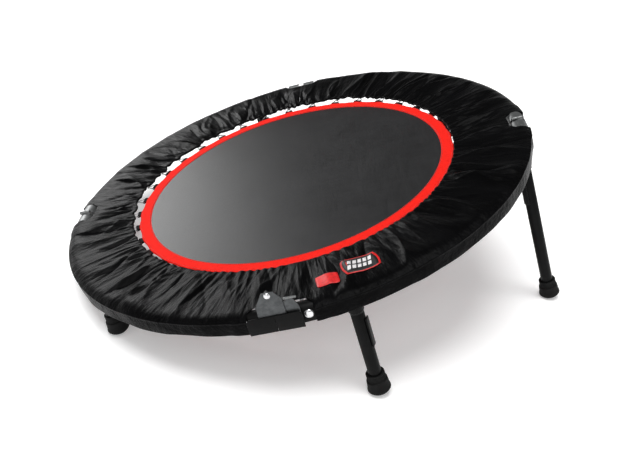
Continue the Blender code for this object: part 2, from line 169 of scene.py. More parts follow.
def slope_place(tree):
    """The surface point along, across and above the slope, and its place round the ring."""
    offset = add_node(tree, "ShaderNodeVectorMath", {0: object_place(tree), 1: tuple(CENTRE)},
                      operation="SUBTRACT").outputs[0]
    a, b, height = (add_node(tree, "ShaderNodeVectorMath", {0: offset, 1: tuple(axis)},
                             operation="DOT_PRODUCT").outputs["Value"]
                    for axis in (ACROSS, BACKWARD, NORMAL))
    round_it = times(tree, maths(tree, "ARCTAN2", b, a), RING_R)
    radius = maths(tree, "SQRT", plus(tree, times(tree, a, a), times(tree, b, b)))
    return a, b, height, round_it, radius


def combine(tree, x, y, z=0.0):
    return add_node(tree, "ShaderNodeCombineXYZ", {0: x, 1: y, 2: z}).outputs[0]


def noise(tree, vector, scale, detail=3.0, roughness=0.5):
    inputs = {"Vector": vector, "Scale": scale, "Detail": detail, "Roughness": roughness}
    return add_node(tree, "ShaderNodeTexNoise", inputs).outputs["Fac"]


def spread(tree, value, low, high):
    """Maps a 0 to 1 value to a range."""
    inputs = {"Value": value, "To Min": low, "To Max": high}
    return add_node(tree, "ShaderNodeMapRange", inputs).outputs["Result"]


def ramp(tree, value, *stops):
    """Colour ramp with (position, (r, g, b)) stops."""
    node = add_node(tree, "ShaderNodeValToRGB", {"Fac": value})
    elements = node.color_ramp.elements
    while len(elements) < len(stops):
        elements.new(0.5)
    for element, (position, color) in zip(elements, stops):
        element.position = position
        element.color = (*color, 1.0)
    return node.outputs["Color"]


def dress(material, tone, stops, rough=None, bumps=()):
    """Links a colour ramp, a (value, low, high) roughness and bumps, the first one deepest.

    Each bump is (height, distance in metres, strength)."""
    tree = material.node_tree
    inputs = tree.nodes["Principled BSDF"].inputs
    tree.links.new(ramp(tree, tone, *stops), inputs["Base Color"])
    if rough is not None:
        tree.links.new(spread(tree, *rough), inputs["Roughness"])
    normal = None
    for height, distance, strength in bumps:
        values = {"Height": height, "Distance": distance, "Strength": strength}
        if normal is not None:
            values["Normal"] = normal
        normal = add_node(tree, "ShaderNodeBump", values).outputs["Normal"]
    if normal is not None:
        tree.links.new(normal, inputs["Normal"])
    return material


def wave(tree, position, period):
    """0 to 1 ribs at this period along a position in metres."""
    return raised(tree, maths(tree, "SINE", times(tree, position, 2 * math.pi / period)))


def raised(tree, value):
    """A -1 to 1 value as 0 to 1."""
    return plus(tree, times(tree, value, 0.5), 0.5)


def weave(tree, x, y, period):
    """Over and under threads: the higher of two crossed sets of ribs."""
    checker = times(tree, maths(tree, "SINE", times(tree, x, math.pi / period)),
                    maths(tree, "SINE", times(tree, y, math.pi / period)))
    ribs = times(tree, wave(tree, x, period), wave(tree, y, period))
    return plus(tree, raised(tree, checker), times(tree, ribs, 0.6))


def skirt_nylon():
    """Thin black nylon: fine crinkles that run outward between the modelled folds."""
    material, tree = new_material("skirt_nylon", (0.002, 0.002, 0.0022), 0.36,
                                  Specular_IOR_Level=0.032)
    _, _, height, round_it, radius = slope_place(tree)
    stretched = combine(tree, round_it, times(tree, radius, 0.22), height)
    crinkle = noise(tree, stretched, 95.0, 5.0, 0.62)
    soft = noise(tree, stretched, 28.0)
    cloth = weave(tree, round_it, maths(tree, "SUBTRACT", radius, height), 0.0011)
    return dress(material, soft,
                 ((0.30, (0.0012, 0.0012, 0.0013)), (0.72, (0.0030, 0.0030, 0.0033))),
                 (crinkle, 0.24, 0.40),
                 ((soft, 0.0060, 0.8), (crinkle, 0.0026, 0.85), (cloth, 0.0001, 0.35)))


def mat_weave():
    """Tightly woven mat with a soft sheen and slightly uneven threads."""
    material, tree = new_material("mat_weave", (0.015, 0.015, 0.016), 0.38,
                                  Specular_IOR_Level=0.30)
    a, b, height, _, _ = slope_place(tree)
    along = noise(tree, combine(tree, times(tree, a, 0.06), b, height), 320.0, 2.0)
    across = noise(tree, combine(tree, a, times(tree, b, 0.06), height), 320.0, 2.0)
    streaks = times(tree, plus(tree, along, across), 0.5)
    cloud = noise(tree, combine(tree, a, b, height), 9.0, 2.0)
    tone = plus(tree, times(tree, streaks, 0.7), times(tree, cloud, 0.3))
    return dress(material, tone, ((0.34, (0.008, 0.008, 0.0085)), (0.66, (0.020, 0.020, 0.021))),
                 (tone, 0.30, 0.46),
                 ((weave(tree, a, b, 0.0018), 0.0003, 0.5), (streaks, 0.0004, 0.35)))


def webbing(name, dark, bright, rib, rough):
    """Woven tape with ribs across its length and soft, uneven colour."""
    material, tree = new_material(name, bright, rough, Specular_IOR_Level=0.05)
    a, b, height, round_it, radius = slope_place(tree)
    tone = noise(tree, combine(tree, a, b, height), 260.0, 4.0, 0.6)
    tape = weave(tree, round_it, radius, rib)
    return dress(material, tone, ((0.28, dark), (0.62, bright)),
                 (tone, rough - 0.08, rough + 0.08), ((tape, 0.0005, 0.7), (tone, 0.0003, 0.4)))


def speckled(name, color, rough, clouds, stops, grain, lift, **sockets):
    """A plain stuff with clouds in its colour and roughness, and a fine grain.

    rough is (even, low, high), and clouds and grain are what noise() takes."""
    material, tree = new_material(name, color, rough[0], **sockets)
    place = object_place(tree)
    tone = noise(tree, place, *clouds)
    return dress(material, tone, stops, (tone, *rough[1:]),
                 ((noise(tree, place, *grain), 0.0002, lift),))


def plated_steel(name, dark, bright, low_rough, high_rough, grain=520.0):
    """Zinc plate or bright steel: drawn grain, cloudy plating and small scratches."""
    material, tree = new_material(name, bright, low_rough, 0.92)
    a, b, height, _, _ = slope_place(tree)
    drawn = combine(tree, times(tree, a, 0.12), b, times(tree, height, 3.0))
    lines = noise(tree, drawn, grain, 4.0, 0.65)
    cloud = noise(tree, object_place(tree), 120.0, 4.0, 0.6)
    mixed = times(tree, plus(tree, lines, cloud), 0.5)
    return dress(material, cloud, ((0.3, dark), (0.7, bright)), (mixed, low_rough, high_rough),
                 ((lines, 0.0002, 0.35),))


def sewing_thread(name, color):
    material, tree = new_material(name, color, 0.6, Sheen_Weight=0.3)
    twist = noise(tree, object_place(tree), 1500.0, 2.0)
    shade = tuple(part * 0.5 for part in color)
    return dress(material, twist, ((0.3, shade), (0.7, color)), bumps=((twist, 0.0003, 0.6),))


def printed_patch(name, color, ink):
    """Smooth woven patch, its print slightly uneven."""
    return speckled(name, color, (0.45, 0.38, 0.6), (210.0, 5.0, 0.65),
                    ((0.30, ink), (0.55, color)), (1300.0, 2.0), 0.4)


def floor_paper():
    material, tree = new_material("floor_paper", grey(0.90), 0.8,
                                  Emission_Color=(1.0, 1.0, 1.0, 1.0), Emission_Strength=0.30)
    grain = noise(tree, object_place(tree), 3.0, 2.0)
    return dress(material, grain, ((0.3, grey(0.885)), (0.7, grey(0.905))))


NYLON = skirt_nylon()
MAT = mat_weave()
RED_WEBBING = webbing("red_tape", (0.76, 0.013, 0.008), (0.93, 0.020, 0.012), 0.0016, 0.70)
BLACK_WEBBING = webbing("black_tape", grey(0.004), grey(0.011), 0.0018, 0.68)
PAINT = speckled("painted_steel", grey(0.003), (0.34, 0.26, 0.46), (38.0, 5.0, 0.6),
                 ((0.35, (0.0020, 0.0020, 0.0022)), (0.75, grey(0.0045))),
                 (900.0, 2.0), 0.3, Specular_IOR_Level=0.10)
ZINC = plated_steel("zinc_plate", (0.16, 0.165, 0.165), (0.25, 0.255, 0.255), 0.40, 0.55)
# Painted shade: a darker copy of the zinc plate, for the upright front plates and the low pins.
SHADED_ZINC = plated_steel("shaded_zinc_plate", (0.065, 0.068, 0.070), (0.115, 0.120, 0.123), 0.40, 0.55)
BRIGHT = plated_steel("bright_steel", (0.62, 0.62, 0.63), (0.82, 0.82, 0.83), 0.16, 0.32, 700.0)
SPRING = plated_steel("spring_wire", (0.42, 0.42, 0.43), (0.62, 0.62, 0.63), 0.22, 0.36, 650.0)
RUBBER = speckled("moulded_rubber", grey(0.005), (0.7, 0.58, 0.82), (60.0, 4.0),
                  ((0.35, grey(0.003)), (0.75, (0.008, 0.008, 0.0078))),
                  (700.0, 3.0), 0.4, Specular_IOR_Level=0.15)
DARK_THREAD = sewing_thread("dark_thread", (0.020, 0.012, 0.012))
RED_THREAD = sewing_thread("red_thread", (0.62, 0.03, 0.02))
LABEL_RED = printed_patch("label_red_weave", (0.70, 0.012, 0.012), (0.40, 0.006, 0.006))
LABEL_LIGHT = printed_patch("label_light_weave", (0.80, 0.78, 0.78), (0.50, 0.49, 0.49))
LABEL_DARK = printed_patch("label_dark_weave", grey(0.006), grey(0.002))
SLOTS = {material: slot for slot, materials in (
    ("skirt_fabric", (NYLON, BLACK_WEBBING, DARK_THREAD, LABEL_LIGHT, LABEL_DARK)),
    ("red_webbing", (RED_WEBBING, RED_THREAD, LABEL_RED)),
    ("mat_fabric", (MAT,)), ("black_paint", (PAINT,)), ("zinc", (ZINC, SHADED_ZINC)),
    ("bright_bolt", (BRIGHT,)), ("spring_steel", (SPRING,)), ("rubber", (RUBBER,)),
) for material in materials}


# Mesh helpers ---------------------------------------------

def grid_faces(rows, columns, close_rows=False, close_columns=False):
    """Quads between neighbouring rows and columns of a grid of points."""
    faces = []
    for row in range(rows if close_rows else rows - 1):
        after = (row + 1) % rows
        for column in range(columns if close_columns else columns - 1):
            beside = (column + 1) % columns
            faces.append((row * columns + column, row * columns + beside,
                          after * columns + beside, after * columns + column))
    return faces


def joined(shapes):
    """Several (points, faces) shapes as one."""
    points, faces, start = [], [], 0
    for shape_points, shape_faces in shapes:
        points.append(np.asarray(shape_points, float).reshape(-1, 3))
        faces += [tuple(start + corner for corner in face) for face in shape_faces]
        start += len(points[-1])
    return np.vstack(points), faces


def new_object(name, data):
    thing = bpy.data.objects.new(name, data)
    bpy.context.scene.collection.objects.link(thing)
    return thing


def make_piece(name, shape, material):
    """A smooth-shaded mesh object from a (points, faces) shape in the row frame."""
    points, faces = shape
    mesh = bpy.data.meshes.new(name)
    mesh.from_pydata([tuple(point) for point in points], [], faces)
    mesh.materials.append(material)
    with editing(mesh) as edit:
        bmesh.ops.recalc_face_normals(edit, faces=edit.faces)
    mesh.shade_smooth()
    piece = new_object(name, mesh)
    return piece


@contextmanager
def editing(mesh):
    """The mesh as a bmesh, written back at the end."""
    edit = bmesh.new()
    edit.from_mesh(mesh)
    yield edit
    edit.to_mesh(mesh)
    edit.free()


def everything(edit):
    return edit.verts[:] + edit.edges[:] + edit.faces[:]


def placed(piece, body, *nodes, degrees=40):
    """Sharpens a piece's creases, rides it on its body and puts it in place of CAD nodes."""
    piece.data.set_sharp_from_angle(angle=math.radians(degrees))
    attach(piece, body)
    if nodes:
        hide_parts(*nodes)


def modified(piece, kind, **settings):
    """Adds one modifier and applies it through the depsgraph, without an operator."""
    modifier = piece.modifiers.new(kind, kind)
    for name, value in settings.items():
        setattr(modifier, name, value)
    graph = bpy.context.evaluated_depsgraph_get()
    mesh = bpy.data.meshes.new_from_object(piece.evaluated_get(graph))
    piece.modifiers.remove(modifier)
    old, piece.data = piece.data, mesh
    bpy.data.meshes.remove(old)


def solidified(piece, thickness, offset):
    """Gives a sheet its thickness, inward at offset -1 and both ways at 0."""
    modified(piece, "SOLIDIFY", thickness=thickness, offset=offset)


def bevelled(piece, width, segments=2):
    """Rounds the creases over 30 degrees, and shades the piece smooth again."""
    modified(piece, "BEVEL", width=width, segments=segments, limit_method="ANGLE",
             angle_limit=math.radians(30))
    piece.data.shade_smooth()


def perpendicular(direction):
    side = Vector((0, 0, 1)) if abs(direction.z) < 0.9 else Vector((1, 0, 0))
    first = direction.cross(side).normalized()
    return first, direction.cross(first)


def turned(origin, axis, profile, sides, first=None):
    """A profile of (distance along the axis, radius) turned round it; a 0 radius closes an end."""
    x_axis, y_axis = perpendicular(axis)
    if first is not None:
        x_axis = (first - axis * first.dot(axis)).normalized()
        y_axis = axis.cross(x_axis)
    angles = around(sides)
    ring = np.outer(np.cos(angles), x_axis) + np.outer(np.sin(angles), y_axis)
    points, faces, rows = [], [], []
    for distance, radius in profile:
        middle = np.array(origin + axis * distance)
        if radius == 0:
            rows.append([len(points)])
            points.append(middle)
        else:
            rows.append(list(range(len(points), len(points) + sides)))
            points += list(middle + radius * ring)
    for low, high in zip(rows, rows[1:]):
        for side in range(sides):
            after = (side + 1) % sides
            if len(low) == 1:
                faces.append((low[0], high[side], high[after]))
            elif len(high) == 1:
                faces.append((low[side], low[after], high[0]))
            else:
                faces.append((low[side], low[after], high[after], high[side]))
    return np.array(points), faces


def swept(path, radius, sides, closed=False, up=None):
    """A round bar along a path of points, capped at its ends."""
    path = np.asarray(path, float)
    count = len(path)
    if closed:
        ahead = np.roll(path, -1, 0) - np.roll(path, 1, 0)
    else:
        ahead = np.gradient(path, axis=0)
    ahead /= np.linalg.norm(ahead, axis=1)[:, None]
    side = np.array(up if up is not None else perpendicular(Vector(ahead[0]))[0], float)
    angles = around(sides)
    points = []
    for place, direction, size in zip(path, ahead, np.broadcast_to(radius, (count,))):
        side = side - direction * side.dot(direction)
        side /= np.linalg.norm(side)
        other = np.cross(direction, side)
        ring = np.outer(np.cos(angles), side) + np.outer(np.sin(angles), other)
        points.append(place + size * ring)
    faces = grid_faces(count, sides, close_rows=closed, close_columns=True)
    if not closed:
        faces.append(tuple(range(sides))[::-1])
        faces.append(tuple(range((count - 1) * sides, count * sides)))
    return np.vstack(points), faces


def columns(profile):
    """The radii and heights of a profile, each as an array that broadcasts round the ring."""
    radius, height = np.array(profile, float).T
    return radius[:, None], height[:, None]


def ring_sweep(profile, angles, closed=False):
    """A cross-section of (radius, height) points swept round the ring."""
    points = ring_points(np.asarray(angles)[None, :], *columns(profile))
    return points.reshape(-1, 3), grid_faces(len(profile), len(angles), close_rows=closed)


def from_tube(outline):
    """(radius, height) points measured from the tube's centre line, as measured from the middle."""
    return [(RING_R + x, z) for x, z in outline]


def arc(radius, start, end, count, centre=(0.0, 0.0)):
    """Points along an arc, in degrees."""
    turns = [math.radians(start + (end - start) * i / count) for i in range(count + 1)]
    return [(centre[0] + radius * math.cos(turn), centre[1] + radius * math.sin(turn))
            for turn in turns]


def prism(matrix, outline, low, high):
    """A flat outline in the matrix's y-z plane, as a plate from x = low to x = high."""
    count = len(outline)
    points = [matrix @ Vector((x, y, z)) for x in (low, high) for y, z in outline]
    faces = [tuple(range(count)), tuple(range(2 * count - 1, count - 1, -1))]
    faces += [(i, i + count, (i + 1) % count + count, (i + 1) % count) for i in range(count)]
    return np.array(points), faces


# Pieces that cross the folds ------------------------------

def cut_by_plane(mesh, point, normal, keep_positive):
    """Keeps one side of a plane."""
    with editing(mesh) as edit:
        bmesh.ops.bisect_plane(edit, geom=everything(edit), plane_co=point, plane_no=normal,
                               clear_inner=keep_positive, clear_outer=not keep_positive)


def copy_piece(piece, name):
    copy = piece.copy()
    copy.data = piece.data.copy()
    copy.name = copy.data.name = name
    bpy.context.scene.collection.objects.link(copy)
    return copy


SEAM = CENTRE - ACROSS * BLEND_WIDTH


def split_at_folds(piece, prefix):
    """Cuts a whole ring or disc into three pieces: right, left and front."""
    right = copy_piece(piece, prefix + "_right")
    cut_by_plane(right.data, CENTRE, ACROSS, True)
    front = copy_piece(piece, prefix + "_front")
    cut_by_plane(front.data, CENTRE, ACROSS, False)
    left = copy_piece(front, prefix + "_left")
    cut_by_plane(front.data, SEAM, ACROSS, True)
    cut_by_plane(front.data, CENTRE, BACKWARD, False)
    trim_front_strip(left)
    bpy.data.objects.remove(piece)
    return {"right": right, "left": left, "front": front}


def trim_front_strip(left):
    """Takes the front strip out of the left piece, which keeps everything else."""
    with editing(left.data) as edit:
        for point, normal in ((SEAM, ACROSS), (CENTRE, BACKWARD)):
            bmesh.ops.bisect_plane(edit, geom=everything(edit), plane_co=point, plane_no=normal)
        inside = []
        for face in edit.faces:
            offset = face.calc_center_median() - CENTRE
            if -BLEND_WIDTH < offset.dot(ACROSS) < 0 and offset.dot(BACKWARD) < 0:
                inside.append(face)
        bmesh.ops.delete(edit, geom=inside, context="FACES")


def blend_pieces(pieces):
    """Bakes the world transforms of the right, left and front pieces into their meshes."""
    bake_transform(pieces["right"])
    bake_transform(pieces["left"])
    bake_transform(pieces["front"])


# Mat and red band -----------------------------------------

MAT_R = 0.3500
MAT_HALF = 0.0010
BAND_INNER = 0.3262
BAND_OUTER = 0.3520
BAND_HALF = 0.0021
BAND_COLUMNS = 540
FOLD_ROWS = 7
STITCH_LENGTH = 0.0034
STITCH_GAP = 0.0009


def jumping_mat():
    angles = around(180)
    disc = make_piece("mat_whole", (ring_points(angles, MAT_R, 0.0), [tuple(range(180))]), MAT)
    pieces = split_at_folds(disc, "mat")
    for key, piece in pieces.items():
        direction = -ACROSS if key == "front" else BACKWARD
        add_rows(piece.data, direction, [BLEND_WIDTH * i / FOLD_ROWS for i in range(FOLD_ROWS + 1)])
        solidified(piece, 2 * MAT_HALF, 0.0)
        piece.data.shade_flat()
    return pieces


def add_rows(mesh, direction, distances):
    """Cuts extra edges across a flat sheet, at these distances from the fold."""
    with editing(mesh) as edit:
        for distance in distances:
            bmesh.ops.bisect_plane(edit, geom=everything(edit), plane_no=direction,
                                   plane_co=CENTRE + direction * distance)


def red_band():
    """Webbing folded over the mat's edge, pulled out a little at every spring."""
    rounding = 0.0009
    first, last = BAND_INNER + rounding, BAND_OUTER - rounding
    top = [(first + (last - first) * i / 6, BAND_HALF) for i in range(7)]
    below = [(radius, -height) for radius, height in reversed(top)]
    side = BAND_HALF - rounding
    profile = top + [(BAND_OUTER, side), (BAND_OUTER, -side)] + below
    profile += [(BAND_INNER, -side), (BAND_INNER, side)]
    angles = around(BAND_COLUMNS)
    radius, height = columns(profile)
    share = (radius - BAND_INNER) / (BAND_OUTER - BAND_INNER)
    pull = 0.0011 * np.cos(SPRING_COUNT * (angles - FIRST_SPRING)) * share**2
    wrinkle = 0.00022 * np.sin(91 * angles + 2.0 * np.sin(5 * angles)) * share
    points = ring_points(angles[None, :], radius + pull, height + wrinkle)
    faces = grid_faces(len(profile), BAND_COLUMNS, close_rows=True, close_columns=True)
    return make_piece("band_whole", (points.reshape(-1, 3), faces), RED_WEBBING)


def stitch(angle, radius, height):
    """One short raised stitch, lying along the ring."""
    spots = np.linspace(-1, 1, 5)
    lift = height + 0.0003 * (1 - spots**2)
    path = ring_points(angle + STITCH_LENGTH / 2 / radius * spots, radius, lift)
    return swept(path, 0.00042 * np.sqrt(np.maximum(1.05 - spots**2, 0.1)), 6, up=NORMAL)


def stitch_row(name, radius, material):
    """A row of stitches round the red band, as three pieces: right, left and front."""
    shapes = {"right": [], "left": [], "front": []}
    count = int(2 * math.pi * radius / (STITCH_LENGTH + STITCH_GAP))
    for i in range(count):
        angle = 2 * math.pi * (i + 0.5) / count
        shapes[which_piece(angle, radius)].append(stitch(angle, radius, BAND_HALF))
    return {key: make_piece(f"{name}_{key}", joined(shapes[key]), material) for key in shapes}


def which_piece(angle, radius):
    a, b = radius * math.cos(angle), radius * math.sin(angle)
    if a > 0:
        return "right"
    return "front" if a > -BLEND_WIDTH and b < 0 else "left"


# Skirt ----------------------------------------------------

SKIRT_COLUMNS = 1440
HEM_R = 0.3605
SEAM_R = 0.5070
SKIRT_THICK = 0.0009
SKIRT_TOP = [(HEM_R, 0.0088), (0.372, 0.0098), (0.395, 0.0125), (0.430, 0.0150), (0.470, 0.0166),
             (0.490, 0.0168), (0.5005, 0.0150), (SEAM_R, 0.0108)]
TOP_ROWS = 30
# Layers of folds: count, height, half width in radians, reach, lean and sharpness
FOLD_LAYERS = [
    (26, 0.0030, 0.085, (0.9, 1.5), 0.05, 2.0),
    (74, 0.0054, 0.021, (0.8, 1.7), 0.07, 1.4),
    (100, 0.0036, 0.011, (0.5, 1.5), 0.08, 1.2),
    (84, -0.0048, 0.010, (0.5, 1.5), 0.08, 1.1),
    (150, 0.0016, 0.0075, (0.12, 0.40), 0.02, 1.5),
]


def wrapped(angle):
    return (angle + math.pi) % (2 * math.pi) - math.pi


def eased(share):
    """0 to 1, with a soft start and end."""
    share = np.clip(share, 0, 1)
    return share * share * (3 - 2 * share)


def add_folds(height, angles, share, rng, count, size, width, reach, lean, sharp):
    """Adds ridges (or valleys, if size is negative) that run out from the hem and fade."""
    for i in range(count):
        middle = (i + rng.uniform(-0.45, 0.45)) * 2 * math.pi / count
        tall = size * rng.uniform(0.3, 1.0)
        wide = width * rng.uniform(0.65, 1.45)
        slant = rng.normal(0.0, lean)
        bend = rng.normal(0.0, 0.4 * lean)
        far = rng.uniform(*reach)
        line = middle + slant * share + bend * np.sin(math.pi * share)
        rise = eased((far - share) / (0.55 * far)) * (0.35 + 0.65 * np.clip(share / 0.12, 0, 1))
        off = wrapped(angles[None, :] - line[:, None]) / (wide * (0.7 + 0.9 * share))[:, None]
        height += (tall * rise)[:, None] * np.exp(-np.abs(off) ** sharp)


def skirt_folds(angles, share):
    """Height of the folds over the skirt's smooth top, hem to rim."""
    rng = np.random.default_rng(11)
    height = np.zeros((len(share), len(angles)))
    for layer in FOLD_LAYERS:
        add_folds(height, angles, share, rng, *layer)
    return height - height.mean(1)[:, None]


def hem_gathers(angles):
    """Uneven small pleats of the elastic hem, from -1 to 1."""
    drift = 0.9 * np.sin(7 * angles) + 1.3 * np.sin(3 * angles + 1.0) + 0.5 * np.sin(19 * angles)
    pleats = np.sin(128 * angles + 4 * drift)
    return np.sign(pleats) * np.abs(pleats) ** 0.8 * (0.7 + 0.3 * np.sin(11 * angles + 2))


def hem_shift(angles):
    """How far the hem is pulled outward: raggedly at the back and left, inward at the right."""
    back = np.exp(-((wrapped(angles - math.radians(122)) / 1.32) ** 6))
    right = np.exp(-((wrapped(angles - math.radians(4)) / 0.72) ** 4))
    uneven = (np.sin(17 * angles + 2 * np.sin(3 * angles)) + 0.8 * np.sin(41 * angles + 1)
              + 0.9 * np.sin(67 * angles + 3 * np.sin(7 * angles)))
    return 0.0092 * back - 0.0060 * right + 0.0030 * uneven * back


def over_hinge(angles, middle, reach):
    """1 where the skirt passes this far along the tube from a hinge, fading to 0 beyond."""
    along = np.abs(np.stack([wrapped(angles - hinge) for hinge in OPENINGS])).min(0) * RING_R
    return eased((reach - np.abs(along - middle)) / 0.020)


def skirt_surface():
    """The skirt as one open sheet: elastic hem, gathered top, seam at the rim, side and hem."""
    angles = around(SKIRT_COLUMNS)
    share = np.linspace(0, 1, TOP_ROWS) ** 1.15
    radius = HEM_R + (SEAM_R - HEM_R) * share
    near_hem = np.exp(-((share / 0.13) ** 1.5))[:, None]
    near_rim = np.clip((1 - share) / 0.16, 0, 1)[:, None] ** 0.8
    calm = over_hinge(angles, 0.0, 0.100) * np.clip((share - 0.55) / 0.2, 0, 1)[:, None]
    folds = skirt_folds(angles, share)
    folds *= (0.22 + 0.78 * near_rim) * (1 - 0.8 * near_hem) * (1 - 0.9 * calm)
    top = np.interp(radius, *np.array(SKIRT_TOP).T)[:, None] + folds
    top += 0.0012 * near_hem * hem_gathers(angles)
    clear_r = TUBE_R + 0.0016 + 0.0020 * over_hinge(angles, 0.0, 0.086)
    over_tube = np.sqrt(np.maximum(clear_r**2 - (radius - RING_R)[:, None] ** 2, 0))
    top = np.maximum(top, np.maximum(over_tube, 0.0052))
    pinch = 0.0007 * np.sin(64 * angles + 3 * np.sin(5 * angles)) + hem_shift(angles)
    bolts = 0.0023 * over_hinge(angles, BOLT_T, 0.034)
    out = radius[:, None] + near_hem * pinch
    out += (share[:, None] ** 8) * bolts
    rows = list(zip(out, top))
    return angles, hem_rows(rows[0]) + rows + side_rows(angles, rows[-1])


def hem_rows(edge):
    """The casing of the elastic: the sheet rolls down and back under itself."""
    steps = ((0.0090, -0.0052), (0.0040, -0.0054), (0.0004, -0.0046), (-0.0014, -0.0026),
             (-0.0012, -0.0008))
    return [(edge[0] + out, edge[1] + up) for out, up in steps]


def side_rows(angles, seam):
    """Piped seam at the rim and the plain side band that hangs from it, looser lower down."""
    slow = 0.0006 * (np.sin(23 * angles + 1.5 * np.sin(4 * angles)) + 0.7 * np.sin(41 * angles + 1))
    uneven = 0.0007 * np.sin(17 * angles + 2)
    steps = ((0.0012, -0.0003, 0.0), (0.0018, -0.0016, 0.0), (0.0008, -0.0028, 0.0),
             (0.0009, -0.0060, 0.3), (0.0012, -0.0120, 0.6), (0.0012, -0.0190, 0.9),
             (0.0010, -0.0262, 1.0), (0.0006, -0.0278, 1.0), (-0.0008, -0.0280, 1.0),
             (-0.0012, -0.0255, 1.0))
    return [(seam[0] + out + loose * slow, seam[1] + up + loose * uneven)
            for out, up, loose in steps]


# Start and end along the tube, and inner edge, of the opening in the skirt at each hinge
OPENINGS = {RIGHT: (-0.036, 0.036, 0.470), BACK: (-0.044, 0.044, 0.479),
            LEFT: (-0.036, 0.036, 0.467), FRONT: (-0.0495, 0.0650, 0.480)}
OPENING_CORNER = 0.014
BOLT_T = 0.054  # along the tube from a hinge to its fixing bolts
SLIT = 0.00015


def cut_opening(edit, hinge, start, end, inner):
    """Cuts a cornered opening through the skirt from its inner edge out through the rim."""
    _, outward, along = ring_axes(hinge)
    bounds = []
    for side, half_width in ((-1, -start), (1, end)):
        bounds.append((CENTRE + along * side * half_width, along * side))
        spot = along * side * (half_width - OPENING_CORNER) + outward * inner
        bounds.append((CENTRE + spot, (along * side - outward).normalized()))
    bounds.append((CENTRE + outward * inner, -outward))
    for point, normal in bounds:
        near = []
        for face in edit.faces:
            offset = face.calc_center_median() - CENTRE
            if offset.dot(outward) > inner - 0.03 and abs(offset.dot(along)) < 0.09:
                near.append(face)
        geometry = list({item for face in near for item in (*face.verts, *face.edges)}) + near
        bmesh.ops.bisect_plane(edit, geom=geometry, plane_co=point, plane_no=normal)
    inside = []
    for face in edit.faces:
        spot = face.calc_center_median()
        if (spot - CENTRE).dot(outward) > 0:
            if all((spot - point).dot(normal) < 0 for point, normal in bounds):
                inside.append(face)
    bmesh.ops.delete(edit, geom=inside, context="FACES")


def skirt():
    """The skirt's three pieces, and the sheet that they were cut from, for the labels."""
    angles, rows = skirt_surface()
    radius, height = (np.array(part) for part in zip(*rows))
    points = ring_points(angles[None, :], radius, height).reshape(-1, 3)
    faces = grid_faces(len(rows), SKIRT_COLUMNS, close_columns=True)
    sheet = make_piece("skirt_whole", (points, faces), NYLON)
    with editing(sheet.data) as edit:
        for hinge, opening in OPENINGS.items():
            cut_opening(edit, hinge, *opening)
    surface = BVHTree.FromObject(sheet, bpy.context.evaluated_depsgraph_get())
    pieces = split_at_folds(sheet, "skirt")
    cut_by_plane(pieces["left"].data, CENTRE - ACROSS * SLIT, ACROSS, False)
    for piece in pieces.values():
        solidified(piece, SKIRT_THICK, -1.0)
        piece.data.shade_smooth()
    return pieces, surface


# Label patches, plain and without lettering ---------------

LABEL_CELLS = 12
LABEL_THICK = 0.0005


def relief(surface, turn, radius, size):
    """Heights of the skirt under a stiff label, as a function of corners from -1 to 1."""
    matrix = ring_frame(turn, radius)
    steps = np.linspace(-1.1, 1.1, 17)

    def above(u, v, height):
        return matrix @ Vector((u * size[0] / 2, v * size[1] / 2, height))

    hits = [[surface.ray_cast(above(u, v, 0.08), -NORMAL)[0] for v in steps] for u in steps]
    heights = np.array([[(hit - matrix.translation).dot(NORMAL) for hit in row] for row in hits])
    for _ in range(10):
        heights = soften(heights)

    def place(u, v, lift):
        column = [np.interp(v, steps, row) for row in heights]
        return above(u, v, np.interp(u, steps, column) + lift)
    return place


def patch(name, place, shape, material, lift):
    """A shape of corners from -1 to 1, laid on a label's relief as a thin sheet."""
    steps = np.linspace(-1, 1, LABEL_CELLS + 1)
    points = [place(*shape(u, v), lift) for u in steps for v in steps]
    faces = grid_faces(LABEL_CELLS + 1, LABEL_CELLS + 1)
    piece = make_piece(name, (points, faces), material)
    solidified(piece, LABEL_THICK, 0.0)
    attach(piece, "front_right")


def soften(grid):
    """Each value as the mean of itself and its four neighbours, but never lower."""
    wide = np.pad(grid, 1, mode="edge")
    beside = wide[1:-1, :-2] + wide[1:-1, 2:] + wide[:-2, 1:-1] + wide[2:, 1:-1]
    return np.maximum((grid + beside) / 5, grid)


def square(u, v):
    """A square with slightly rounded corners."""
    pull = 1 - 0.06 * (abs(u) * abs(v)) ** 6
    return u * pull, v * pull


def badge(scale):
    """A plain badge outline: straight sides, pointed a little at both ends."""
    def shape(u, v):
        return scale * u * (1 - 0.18 * v * v), scale * v * (1 - 0.10 * u * u)
    return shape


def leaning(middle, width, low, high):
    """A leaning block inside the badge."""
    def shape(u, v):
        across = low + (high - low) * (u + 1) / 2
        return across, middle + width * v - 0.22 * across
    return shape


def labels(surface):
    """Two plain sewn labels beside the front hinge, with rows of blocks in place of any print."""
    place = relief(surface, math.radians(-78.6), 0.4466, (0.034, 0.040))
    patch("label_red", place, square, LABEL_RED, 0.0006)
    place = relief(surface, math.radians(-70.4), 0.4349, (0.050, 0.068))
    patch("label_border", place, badge(1.0), LABEL_RED, 0.0006)
    patch("label_dark", place, badge(0.90), LABEL_DARK, 0.0009)
    for row, (low, high) in enumerate(((-0.60, -0.16), (0.02, 0.46))):
        for i in range(5):
            block = leaning(-0.58 + 0.27 * i, 0.095, low, high)
            patch(f"label_block_{row}_{i}", place, block, LABEL_LIGHT, 0.0013)


# Steel frame ----------------------------------------------

END_GAP = 0.001
TUBE_WALL = 0.0015
TUBE_SIDES = 36


